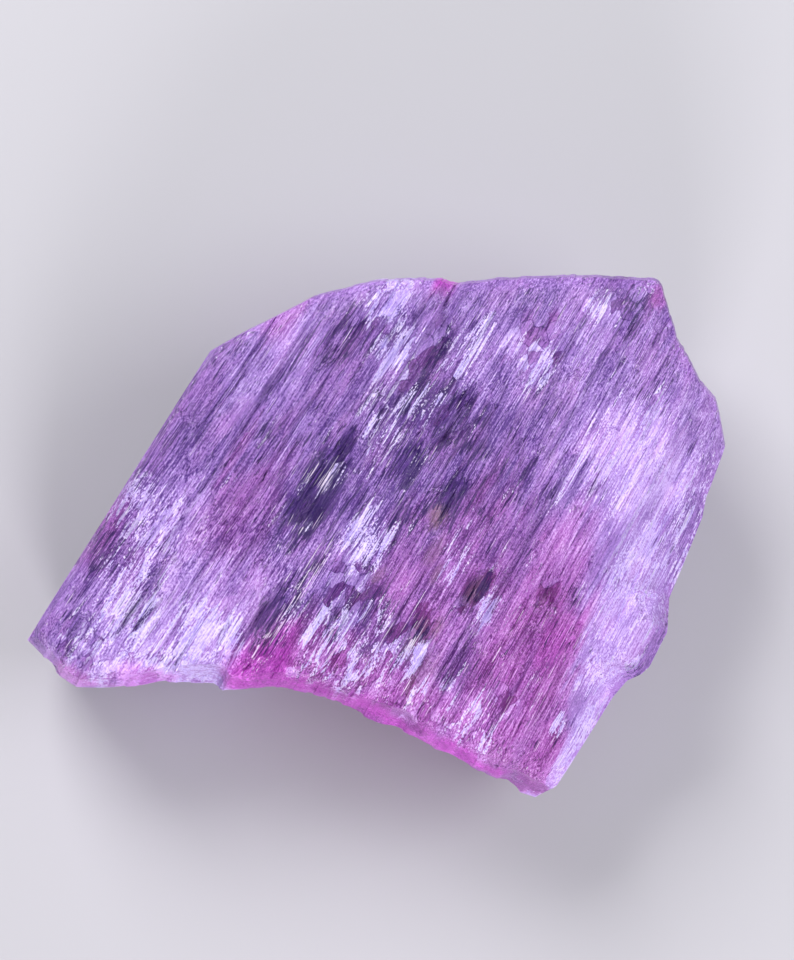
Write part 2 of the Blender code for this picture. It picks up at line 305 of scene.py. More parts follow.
def face_height(lath, y):
    """The height of the striated face over the back."""
    x = x_of(lath, y)
    uneven = raggedness(lath)
    height = THICKNESS - FACE_DEPTH + COARSE.height(lath, y)
    height = height - broken_line(BROAD_FALL, x) - LOW_PLATE_DROP * low_plate(lath, y) - cleft(x, y)
    for cx, cy, half_width, half_length, depth in HOLLOWS:
        floor = FLOOR_EVEN + FLOOR_UNEVEN * uneven
        height = height - depth * floor * patch(lath, y, uneven, cx, cy, half_width, half_length)
    height = height - broken_line(LEFT_FALL, x + HALF_WIDTH - LEFT_INSET[-1][1])
    height = height - broken_line(RIGHT_FALL, broken_line(RIGHT_EDGE, y) - x)
    height = height - broken_line(TOP_FALL, broken_line(TOP_EDGE, x) - TOP_INSET[-1][1] - y)
    height = height - broken_line(BROKEN_FALL, y - broken_line(BROKEN_EDGE, x) - BROKEN_INSET[-1][1])
    for cx, cy, half_width, half_length, rise in PLATES:
        height = height + rise * patch(lath, y, uneven, cx, cy, half_width, half_length)
    height = height + FINE.height(lath, y) - small_hollows(lath, y, uneven)
    return np.minimum(height, THICKNESS)


def back_height(lath):
    """The height of the back: flat, with a few shallow channels along the laths."""
    height = np.zeros_like(lath)
    for first, last, depth in BACK_CHANNELS:
        inside = np.minimum(lath - first, last - lath) / COARSE.riser
        height = height + depth * np.clip(inside, 0.0, 1.0)
    return height


print("height in the middle of the face, in mm:", face_height(np.array([0.0]), np.array([0.0])).round(2))

# %% [markdown]
# ## The skin
#
# The crystal is a block that was pushed into shape: a lattice of columns across it, rows along it and a few
# levels through it. Only the lattice's outer skin is kept. Columns stand at both feet of every riser, so each
# lath keeps a sharp edge, which even columns would blur. Where a side slants in towards the back, its columns
# stop at its foot.

# %% Make the crystal's mesh
COLUMN_WIDTH = 0.25
ROWS = 165
# Up close both ends are smoother than the solid's, so the laths step by less there.
END_STEP = 0.35
DEPTH_STATIONS = [
    0.0, 0.05, 0.12, 0.16, 0.23, 0.3, 0.34, 0.42, 0.5, 0.54, 0.62, 0.66, 0.76, 0.86, 0.92, 0.96, 1.0,
]
THINNEST_COLUMN = 0.02
# Faces of the back that turn by less than this, in radians, are merged, and points closer than this are one.
FLAT_ANGLE = 0.004
SAME_PLACE = 0.001 * MM


def column_stations():
    """The columns of the mesh: both feet of every riser, and more where a lath is wide."""
    kinks = {-HALF_WIDTH, OUTER_LEFT, HALF_WIDTH}
    for laths in (COARSE, FINE):
        for edge in laths.edges:
            kinks.update((edge - laths.riser / 2, edge + laths.riser / 2))
    kinks.update((LOW_PLATE_RIGHT - COARSE.riser / 2, LOW_PLATE_RIGHT + COARSE.riser / 2))
    kinks = sorted(kinks)
    stations = [kinks[0]]
    for start, end in zip(kinks, kinks[1:]):
        if end - stations[-1] < THINNEST_COLUMN:
            continue
        pieces = max(1, round((end - start) / COLUMN_WIDTH))
        stations.extend(np.linspace(stations[-1], end, pieces + 1)[1:])
    stations[-1] = HALF_WIDTH
    return np.array(stations)


def placed(column, along, depth):
    """Where a point of the block's skin goes: its lath, its y and its height."""
    outer_left = np.clip((OUTER_LEFT - column) / (OUTER_LEFT + HALF_WIDTH), 0.0, 1.0)
    outer_right = np.clip((column - OUTER_RIGHT) / (HALF_WIDTH - OUTER_RIGHT), 0.0, 1.0)
    left_in = broken_line(LEFT_INSET, depth)
    right_in = broken_line(RIGHT_INSET, depth)

    def lath_between(left_edge, right_edge):
        from_left = outer_left * (HALF_WIDTH + left_edge + left_in)
        place = column + from_left - outer_right * (HALF_WIDTH - right_edge + right_in)
        return np.clip(place, left_edge + left_in, right_edge - right_in)

    at_top = lath_between(TOP_LINE[0][0], TOP_LINE[-1][0])
    at_break = lath_between(BROKEN_LINE[0][0], BROKEN_LINE[-1][0])
    y_top = broken_line(TOP_LINE, at_top) - broken_line(TOP_INSET, depth)
    y_top = y_top + END_STEP * (COARSE.across(at_top, COARSE.ends[0]) + FINE.across(at_top, FINE.ends[0]))
    y_break = broken_line(BROKEN_LINE, at_break) + broken_line(BROKEN_INSET, depth) + scoops(at_break, depth)
    break_steps = COARSE.across(at_break, COARSE.ends[1]) + FINE.across(at_break, FINE.ends[1])
    y_break = y_break + END_STEP * break_steps
    y_top = np.minimum(y_top, HALF_LENGTH)
    y_break = np.maximum(y_break, -HALF_LENGTH)
    y = y_break + along * (y_top - y_break)
    lath = lath_between(lath_at(-HALF_WIDTH, y), lath_at(broken_line(RIGHT_EDGE, y), y))
    low, high = back_height(lath), face_height(lath, y)
    return lath, y, low + depth * (high - low)


def block_skin(stations):
    """The skin of a block of cells: its points, one station on each axis, and its faces, which face out."""
    counts = [len(line) - 1 for line in stations]
    index, faces = {}, []

    def corner(*place):
        return index.setdefault(place, len(index))

    for axis in range(3):
        second, third = (axis + 1) % 3, (axis + 2) % 3
        for a in range(counts[second]):
            for b in range(counts[third]):
                for level in (0, counts[axis]):
                    square = []
                    for da, db in ((0, 0), (1, 0), (1, 1), (0, 1)):
                        place = [0, 0, 0]
                        place[axis], place[second], place[third] = level, a + da, b + db
                        square.append(corner(*place))
                    faces.append(square if level else square[::-1])
    places = np.array([[line[n] for line, n in zip(stations, place)] for place in index])
    return places, faces


def make_crystal():
    """The fine mesh of the crystal, with the flat back's squares merged."""
    stations = (column_stations(), np.linspace(0.0, 1.0, ROWS + 1), np.array(DEPTH_STATIONS))
    places, faces = block_skin(stations)
    lath, y, z = placed(*places.T)
    mesh = bpy.data.meshes.new("crystal")
    mesh.from_pydata((np.column_stack((x_of(lath, y), y, z)) * MM).tolist(), [], faces)
    shape = bmesh.new()
    shape.from_mesh(mesh)
    shape.verts.ensure_lookup_table()
    bottom = [shape.verts[n] for n in np.flatnonzero(places[:, 2] == 0.0)]
    bmesh.ops.remove_doubles(shape, verts=shape.verts, dist=SAME_PLACE)
    bottom = [v for v in bottom if v.is_valid]
    inside = set(bottom)
    edges = [e for e in shape.edges if e.verts[0] in inside and e.verts[1] in inside]
    bmesh.ops.dissolve_limit(shape, angle_limit=FLAT_ANGLE, verts=bottom, edges=edges)
    bmesh.ops.triangulate(shape, faces=[f for f in shape.faces if len(f.verts) > 4])
    shape.to_mesh(mesh)
    shape.free()
    crystal = bpy.data.objects.new("crystal", mesh)
    bpy.context.scene.collection.objects.link(crystal)
    return crystal


crystal = make_crystal()
crystal.data.calc_loop_triangles()
print("triangles:", len(crystal.data.loop_triangles))

# %% [markdown]
# ## Colour zones
#
# The crystal isn't one colour. Frost lies on it in pale bluish patches, painted indigo shade stands for the
# darkness seen through clear spots and under the ledge, and towards the break the body glows magenta. Other
# zones say where the surface is calm, where fine needles carry painted glints, and where it has cracked into
# chips. A picture would need a flat map of the crystal, so each zone is a soft patch instead: its place, its
# half width and half length in millimetres, and its strength.

# %% List the zones
PALE = [
    (12.5, 14.5, 6.0, 5.0, 0.86), (18.5, 2.5, 3.4, 8.0, 0.76), (21.2, -8.0, 1.1, 9.0, 0.85),
    (4.5, 20.0, 7.0, 5.5, 0.36), (-1.0, 15.5, 4.0, 4.0, 0.32), (-11.5, -18.6, 5.0, 4.2, 0.74),
    (-16.0, -22.0, 4.4, 4.6, 0.7), (-15.5, -14.0, 3.0, 2.6, 0.42), (-18.5, 4.5, 3.0, 5.5, 0.35),
    (-18.0, -11.0, 3.2, 3.4, 0.36), (-12.0, 14.0, 3.0, 3.0, 0.3), (-4.0, -5.0, 2.0, 3.0, 0.4),
    (10.0, -13.2, 6.0, 3.6, 0.52), (4.0, -14.0, 7.0, 2.4, 0.36), (7.5, 12.0, 3.0, 4.0, 0.4),
    (12.0, 7.0, 2.5, 3.5, 0.4), (-9.0, 11.0, 2.0, 3.0, 0.3), (3.0, -5.0, 4.0, 6.0, 0.12),
    (-10.0, -13.5, 4.0, 3.0, 0.4), (15.8, 19.8, 3.4, 3.6, 0.46), (16.6, 7.2, 2.0, 5.0, 0.75),
    (-8.8, 17.0, 2.4, 2.2, 0.3), (-19.0, -27.0, 3.6, 1.4, 0.7), (-12.0, -24.0, 3.6, 2.2, 0.8),
    (-8.6, -22.0, 2.0, 1.6, 0.8), (15.0, -9.0, 3.0, 5.0, 0.25), (7.5, -6.0, 2.0, 3.0, 0.25),
    (-4.6, -10.0, 1.4, 3.0, 0.35), (-17.0, 7.0, 2.2, 3.0, 0.55),
]
ICE = [
    (-19.7, -12.0, 3.0, 3.2, 0.6), (-12.2, 14.0, 1.9, 2.5, 0.78), (-9.8, 11.0, 1.6, 2.8, 0.7),
    (0.6, 16.3, 3.0, 2.4, 0.5), (2.8, 23.1, 1.2, 1.6, 0.5), (-3.3, -3.9, 2.0, 2.8, 0.78),
    (5.7, -10.5, 1.1, 2.1, 0.75), (8.8, -3.0, 0.8, 1.9, 0.65), (3.9, -1.8, 1.2, 4.0, 0.5),
    (2.4, -12.8, 2.2, 3.2, 0.6), (9.0, -10.4, 0.7, 1.1, 0.8), (19.1, -8.5, 0.6, 1.3, 0.75),
    (21.3, -9.0, 0.9, 7.0, 0.6), (-10.0, -22.6, 3.0, 1.8, 0.7), (18.5, -4.5, 0.4, 0.8, 0.6),
    (-9.6, -18.2, 4.2, 3.0, 0.7), (-14.0, -22.5, 5.5, 4.0, 0.6), (-18.0, -19.0, 3.0, 4.0, 0.52),
    (18.4, 7.0, 3.4, 10.0, 0.5), (19.6, -1.0, 2.0, 4.0, 0.55), (-7.4, -17.2, 0.5, 1.2, 0.7),
    (-8.5, -1.2, 0.3, 1.7, 0.65), (-10.0, -2.6, 0.3, 1.5, 0.65), (-2.5, -16.7, 0.6, 0.6, 0.75),
    (-6.0, 6.0, 3.6, 6.0, 0.32), (-4.5, 14.0, 2.4, 4.0, 0.42), (7.6, -12.4, 0.9, 1.8, 0.6),
    (12.0, 14.0, 5.0, 6.0, 0.42), (0.0, -12.0, 5.0, 4.0, 0.42), (12.5, -12.0, 2.4, 2.6, 0.4),
]
# Painted shade: dark indigo patches that stand for the darkness seen through clear spots, for the shade under
# the ledge and along a few edges.
PAINTED_SHADE = [
    (-8.8, -2.1, 1.9, 5.2, 0.85), (-13.9, 9.3, 1.4, 3.0, 0.5), (-14.4, 6.8, 0.8, 1.4, 0.5),
    (-2.3, 9.1, 1.8, 3.0, 0.66), (-3.6, 3.0, 1.5, 2.6, 0.68), (1.1, 3.4, 1.5, 2.6, 0.68),
    (2.2, 15.1, 0.6, 1.8, 0.5), (5.5, 8.5, 0.6, 1.6, 0.66), (-6.1, -12.7, 1.4, 3.6, 0.6),
    (-4.0, -11.1, 0.7, 2.4, 0.5), (6.2, 21.9, 1.3, 4.2, 0.42), (-1.5, 5.0, 6.5, 7.0, 0.36),
    (-19.6, -22.0, 1.4, 3.4, 0.4), (-15.6, -19.4, 0.5, 1.8, 0.85), (-16.4, 5.0, 0.5, 4.0, 0.55),
    (6.9, -2.2, 0.8, 1.9, 0.62), (-6.4, 13.0, 0.7, 3.4, 0.7), (-12.0, 10.5, 1.4, 2.6, 0.4),
    (4.6, -9.4, 1.2, 3.4, 0.52), (-9.5, -6.0, 2.0, 3.4, 0.15), (-6.0, -7.0, 1.0, 5.5, 0.4),
    (-13.0, -4.0, 3.0, 5.0, 0.15), (14.9, -2.0, 1.6, 2.6, 0.25), (-20.8, -15.5, 2.2, 4.0, 0.4),
    (-7.8, -3.8, 0.5, 1.0, 1.0), (-5.0, 9.5, 2.4, 3.4, 0.5), (-16.6, -18.0, 1.2, 3.0, 0.36),
    (-1.0, -9.0, 3.0, 4.0, 0.4), (10.6, 19.0, 2.0, 2.4, 0.25), (-0.5, -14.5, 2.0, 1.6, 0.3),
    (22.4, 2.0, 0.7, 2.6, 0.4), (22.2, -1.2, 1.2, 0.9, 0.45), (-5.4, -1.6, 1.2, 2.4, 0.4),
    (-21.8, -3.0, 1.0, 12.0, 0.26), (3.4, 25.6, 3.0, 2.0, 0.3), (-13.4, -17.4, 1.6, 2.4, 0.28),
    (10.0, -9.6, 2.6, 3.0, 0.22), (-0.5, 21.5, 2.4, 2.6, 0.2), (-9.0, 4.5, 2.0, 2.6, 0.2),
]
BLUSH = [
    (14.0, -6.0, 4.6, 9.0, 0.85), (14.9, -1.6, 2.2, 3.6, 1.0), (6.0, -5.0, 7.0, 9.0, 0.5),
    (8.0, -14.0, 13.0, 3.6, 0.8), (-4.4, -17.4, 3.0, 3.8, 0.95), (2.0, -17.4, 6.0, 1.8, 1.0),
    (19.6, -12.0, 2.0, 4.0, 1.0), (11.5, 3.0, 3.0, 5.0, 0.55), (-9.0, 18.2, 0.9, 1.6, 1.0),
    (6.9, 26.8, 0.9, 1.1, 0.8), (-22.3, -15.2, 1.2, 3.4, 0.5), (-16.2, -2.8, 0.5, 3.2, 0.45),
    (-16.0, -27.3, 6.0, 1.0, 0.7), (-19.0, 9.5, 1.4, 4.0, 0.4), (-13.0, -8.0, 3.0, 5.0, 0.28),
    (5.0, 2.0, 4.0, 5.0, 0.35), (-1.0, -15.0, 4.0, 3.0, 0.5),
]
HOT = [
    (-4.4, -18.6, 2.8, 3.0, 1.0), (0.5, -17.6, 4.5, 1.4, 1.0), (7.0, -16.3, 5.0, 1.2, 1.0),
    (15.0, -15.2, 6.0, 1.0, 1.0), (-9.2, 18.6, 0.8, 1.2, 1.0), (-12.0, -24.6, 3.0, 1.6, 0.5),
    (-4.6, -14.6, 0.8, 2.0, 0.7), (14.9, -2.4, 1.4, 2.2, 0.3),
]
WARM = [
    (0.9, 1.1, 0.8, 0.9, 0.8), (2.3, -1.6, 0.6, 1.4, 0.35), (3.4, -3.4, 0.3, 1.0, 0.5),
    (5.9, -6.9, 0.4, 0.9, 0.5), (-0.6, -5.7, 0.4, 0.8, 0.4), (6.9, -2.4, 0.6, 1.4, 0.4),
    (7.0, -10.6, 0.8, 2.2, 0.3), (4.9, -9.0, 0.7, 2.0, 0.4),
]
CALM = [
    (19.4, 1.0, 3.0, 8.0, 1.0), (16.6, 7.5, 3.2, 5.0, 1.0), (13.5, 13.5, 4.6, 5.5, 0.85),
    (21.3, -9.0, 1.0, 8.0, 1.0), (-19.7, -12.0, 3.0, 3.4, 0.5), (-16.5, 0.0, 4.0, 7.0, 0.35),
    (-12.0, 14.0, 1.8, 2.4, 0.45),
]
# Painted glints: where white glint lines lie thick along the needles, and the streaks are stronger.
NEEDLE_GLINTS = [
    (-5.5, -8.3, 0.8, 4.4, 1.5), (-5.4, -15.0, 0.7, 4.2, 1.3), (-3.4, -12.5, 0.5, 2.4, 1.0),
    (-2.6, -14.6, 0.5, 2.4, 1.0), (-9.2, -2.0, 1.0, 3.0, 0.8), (3.0, -11.0, 6.0, 5.0, 0.7),
    (-17.0, -14.0, 5.0, 7.0, 0.5), (12.0, -8.0, 6.0, 7.0, 0.35), (4.6, -8.0, 0.9, 4.0, 1.0),
    (-8.0, -6.0, 3.0, 5.0, 0.6), (-3.0, 6.0, 6.0, 7.0, 0.3), (3.0, 16.0, 8.0, 8.0, 0.2),
]
# Where the crystal has cracked into small chips with straight edges.
CHIPS = [
    (-1.8, -8.5, 2.4, 3.2, 0.9), (4.6, -9.4, 2.4, 3.6, 0.8), (1.5, -13.5, 4.5, 2.4, 0.6),
    (6.9, -2.2, 1.1, 2.2, 0.8), (0.0, 18.0, 3.6, 3.4, 0.62), (4.4, 25.2, 2.6, 2.2, 0.85),
    (12.2, 0.5, 1.0, 1.6, 0.7), (21.8, 1.6, 1.3, 3.0, 0.6), (-7.2, 12.5, 1.4, 3.6, 0.85),
    (9.0, -14.0, 8.0, 1.8, 0.55), (-8.4, -3.4, 1.2, 2.4, 0.8), (14.2, -8.7, 1.8, 1.6, 0.6),
    (-12.0, 11.5, 2.6, 2.0, 0.6), (-14.0, -24.5, 8.0, 3.0, 0.55), (-3.0, 9.0, 2.4, 4.0, 0.55),
]
ZONES = {
    "pale": PALE, "ice": ICE, "painted_shade": PAINTED_SHADE, "blush": BLUSH, "hot": HOT, "warm": WARM, "calm": CALM,
    "needle_glints": NEEDLE_GLINTS, "chips": CHIPS,
}
print("zones:", {name: len(zones) for name, zones in ZONES.items()})

# %% [markdown]
# ## Paint on the points
#
# Each zone is painted on the mesh as a number at every point, which a material can read back. The patches end
# raggedly, lath by lath, and below the face their borders wander, so the sides show no straight bars. Three
# more things are painted: how near the rim a point is, how high its lath stands, because high laths are a
# little paler, and its place in laths, on which the material's streaks will run.

# %% Paint the zones
# How far a zone's ends move from lath to lath, in millimetres, and at most, as a share of its half length.
ZONE_RAGGED = 1.8
RAGGED_AT_MOST = 0.4
# The width of a zone's soft border, as a share of its size.
ZONE_EDGE = 0.45
# How far down the face's zones keep their borders, in millimetres, and how much these wander from there on.
STRAIGHT_DOWN = 3.0
WANDER = 0.3
# How fast the borders wander aside and along, in radians per millimetre of height and of lath.
WANDER_ASIDE = (0.8, 0.5)
WANDER_ALONG = (0.7, 0.4)
# The rim is painted this far in from the outline, and fades out this far under the face, in millimetres.
RIM_WIDTH = 2.0
RIM_FLOOR = 5.0
RIM_FADE = 4.0
# The spread of lath heights, in millimetres, that takes the painted level from 0 to 1.
COARSE_SWING = 1.2
FINE_SWING = 0.25


def soft_patch(lath, y, cx, cy, half_width, half_length):
    """1 inside an oval patch, easing to 0 across its rim."""
    away = np.hypot((lath - lath_at(cx, cy)) / half_width, (y - cy) / half_length)
    share = np.clip((1.0 + ZONE_EDGE - away) / (2 * ZONE_EDGE), 0.0, 1.0)
    return share * share * (3.0 - 2.0 * share)


def paint(mesh, name, kind, field, values):
    """Writes a value at every point of the mesh."""
    mesh.attributes.new(name, kind, "POINT").data.foreach_set(field, values.astype(np.float32).ravel())


def rim(x, y, z):
    """1 at the upper rim of the crystal, easing to 0 inward and downward."""
    aside = np.minimum(x + HALF_WIDTH, broken_line(RIGHT_EDGE, y) - x)
    along = np.minimum(broken_line(TOP_EDGE, x) - y, y - broken_line(BROKEN_EDGE, x))
    share = np.clip(1.0 - np.minimum(aside, along) / RIM_WIDTH, 0.0, 1.0)
    return share * np.clip((z - RIM_FLOOR) / RIM_FADE, 0.0, 1.0)


def paint_zones(mesh):
    """Paints the zones, the rim, the height of the laths and the place in laths."""
    points = np.empty(len(mesh.vertices) * 3, np.float32)
    mesh.vertices.foreach_get("co", points)
    x, y, z = points.reshape(-1, 3).T.astype(float) / MM
    lath = lath_at(x, y)
    uneven = raggedness(lath)
    sunk = np.clip(THICKNESS - STRAIGHT_DOWN - z, 0.0, None)
    aside = lath + WANDER * sunk * np.sin(WANDER_ASIDE[0] * z + WANDER_ASIDE[1] * lath)
    along = y + WANDER * sunk * np.cos(WANDER_ALONG[0] * z + WANDER_ALONG[1] * lath)
    for name, zones in ZONES.items():
        value = np.zeros_like(x)
        for cx, cy, half_width, half_length, amount in zones:
            stepped = along + min(ZONE_RAGGED, RAGGED_AT_MOST * half_length) * uneven
            value = np.maximum(value, amount * soft_patch(aside, stepped, cx, cy, half_width, half_length))
        paint(mesh, name, "FLOAT", "value", value)
        print(name, "covers", round(100 * float((value > 0.5).mean())), "% of the points")

    paint(mesh, "rim", "FLOAT", "value", rim(x, y, z))
    level = 0.5 + COARSE.height(lath, y) / COARSE_SWING + FINE.height(lath, y) / FINE_SWING
    paint(mesh, "level", "FLOAT", "value", np.clip(level, 0.0, 1.0))
    paint(mesh, "grain", "FLOAT_VECTOR", "vector", np.column_stack((lath, y, z)))


paint_zones(crystal.data)

# %% [markdown]
# ## A small language for materials
#
# A material's pattern is arithmetic: add a streak, take away a shadow, keep the sum between 0 and 1. Wiring
# each step by hand hides that. The class below wraps a socket, so that `0.2 + 0.6 * frost` adds the two Math
# nodes that it needs. Any other node comes from one method: its type, its settings, then its sockets.

# %% Socket arithmetic
class Wire:
    """One output socket of a node tree. Arithmetic on it adds the nodes that work it out."""

    def __init__(self, tree, socket=None):
        self.tree, self.socket = tree, socket

    def node(self, kind, settings=None, inputs=None, output=0):
        """Adds a node of that type: its settings first, then the values or links of its sockets."""
        made = self.tree.nodes.new(kind)
        for name, value in (settings or {}).items():
            setattr(made, name, value)
        for key, value in (inputs or {}).items():
            if isinstance(value, Wire):
                self.tree.links.new(value.socket, made.inputs[key])
            else:
                made.inputs[key].default_value = value
        return Wire(self.tree, made.outputs[output] if made.outputs else None)

    def maths(self, operation, a, b=0.0):
        return self.node("ShaderNodeMath", {"operation": operation}, {0: a, 1: b})

    def __add__(self, other):
        return self.maths("ADD", self, other)

    def __sub__(self, other):
        return self.maths("SUBTRACT", self, other)

    def __rsub__(self, other):
        return self.maths("SUBTRACT", other, self)

    def __mul__(self, other):
        return self.maths("MULTIPLY", self, other)

    __radd__, __rmul__ = __add__, __mul__

    def maths_above(self, limit):
        """1 where this is over the limit, and 0 elsewhere."""
        return self.maths("GREATER_THAN", self, limit)

    def clipped(self):
        """Kept between 0 and 1."""
        return self.node("ShaderNodeClamp", {}, {"Value": self})

    def eased(self, low, high):
        """0 at low, 1 at high, with a smooth turn at both."""
        settings = {"interpolation_type": "SMOOTHSTEP"}
        return self.node("ShaderNodeMapRange", settings, {"Value": self, "From Min": low, "From Max": high})

    def blend(self, colour_0, colour_1):
        """One colour where this is 0, the other where it is 1."""
        inputs = {0: self, 6: colour_0, 7: colour_1}
        return self.node("ShaderNodeMix", {"data_type": "RGBA"}, inputs, output=2)


print("a wire can be:", [name for name in vars(Wire) if name[0] != "_"])

# %% [markdown]
# ## The palette
#
# Kunzite changes from violet to magenta, and each of the two has a deep, a middle and a pale tone. They are
# given as a screen shows them, because that is how an eye compares them with the real stone, and turned to
# the light values that a shader works with. The clear body has its own, stronger colours, since light has to
# pass through it.

# %% Mix the colours
def srgb(red, green, blue):
    """A colour of the screen, from 0 to 255, as light values, with the screen's curve taken out."""
    shares = [c / 255 for c in (red, green, blue)]
    return (*[s / 12.92 if s < 0.0404 else ((s + 0.055) / 1.055) ** 2.4 for s in shares], 1.0)


ICE_WHITE = srgb(232, 222, 250)
ICE_BLUE = srgb(166, 146, 222)
# Painted glint colour, laid along the needles.
GLINT_WHITE = srgb(232, 218, 238)
VIOLET = [srgb(84, 52, 128), srgb(156, 120, 196), srgb(206, 180, 240)]
MAGENTA = [srgb(110, 40, 118), srgb(176, 96, 188), srgb(222, 158, 236)]
HOT_MAGENTA = [srgb(150, 40, 160), srgb(224, 92, 226)]
RIM_VIOLET = srgb(170, 120, 202)
# Painted shade: the indigo of clear windows that look dark, and of dark slits.
SHADE_INDIGO = srgb(36, 12, 80)
TAN = srgb(150, 114, 124)
CLEAR_VIOLET = srgb(214, 186, 244)
CLEAR_MAGENTA = srgb(236, 130, 230)
CLEAR_HOT = srgb(220, 60, 226)
# Painted shade in the clear body, where its windows look dark.
CLEAR_SHADE_INDIGO = srgb(84, 50, 150)
print("middle violet and magenta, as light:", [round(v, 2) for v in (*VIOLET[1][:3], *MAGENTA[1][:3])])

# %% [markdown]
# ## Gem and frost
#
# Where the crystal is fresh it is clear: light goes in, bends by an index of 1.66 and loses its green on the
# way, so what comes back is violet and magenta. Where it is etched, the surface scatters light and looks
# silky. Both are real shaders here, and a mask mixes them: mostly frost, most of all where it is pale or
# crusted, and less where it is red.
#
# The frost's tone is one sum called light, from deep to pale. Soft noise, pointed cells with crisp edges, and
# hairlines add to it, all read in laths and drawn out along them, so they follow the fan. Chips are cells of
# a bent grid, with a dark seam where they meet. Painted glints along the needles, painted indigo shade in the
# dark windows and slits, and a white crust are laid over the tone, and a fine grit roughens the rim. The
# numbers in the sums are amounts in a recipe, found by looking at the render beside the real stone.

# %% The crystal's material
REFRACTIVE_INDEX = 1.66
# The colour that the clear body keeps, and how strongly it takes up the rest, per metre.
ABSORBED = (0.60, 0.07, 0.74, 1.0)
ABSORPTION = 62.0
GEM_ROUGHNESS = 0.12
# Frost breaks the mirror-like reflection up, so its highlights are weaker than a smooth face's.
FROST_SHINE = 0.15
BUMP_DEPTH = 0.08 * MM
BUMP_STRENGTH = 0.8


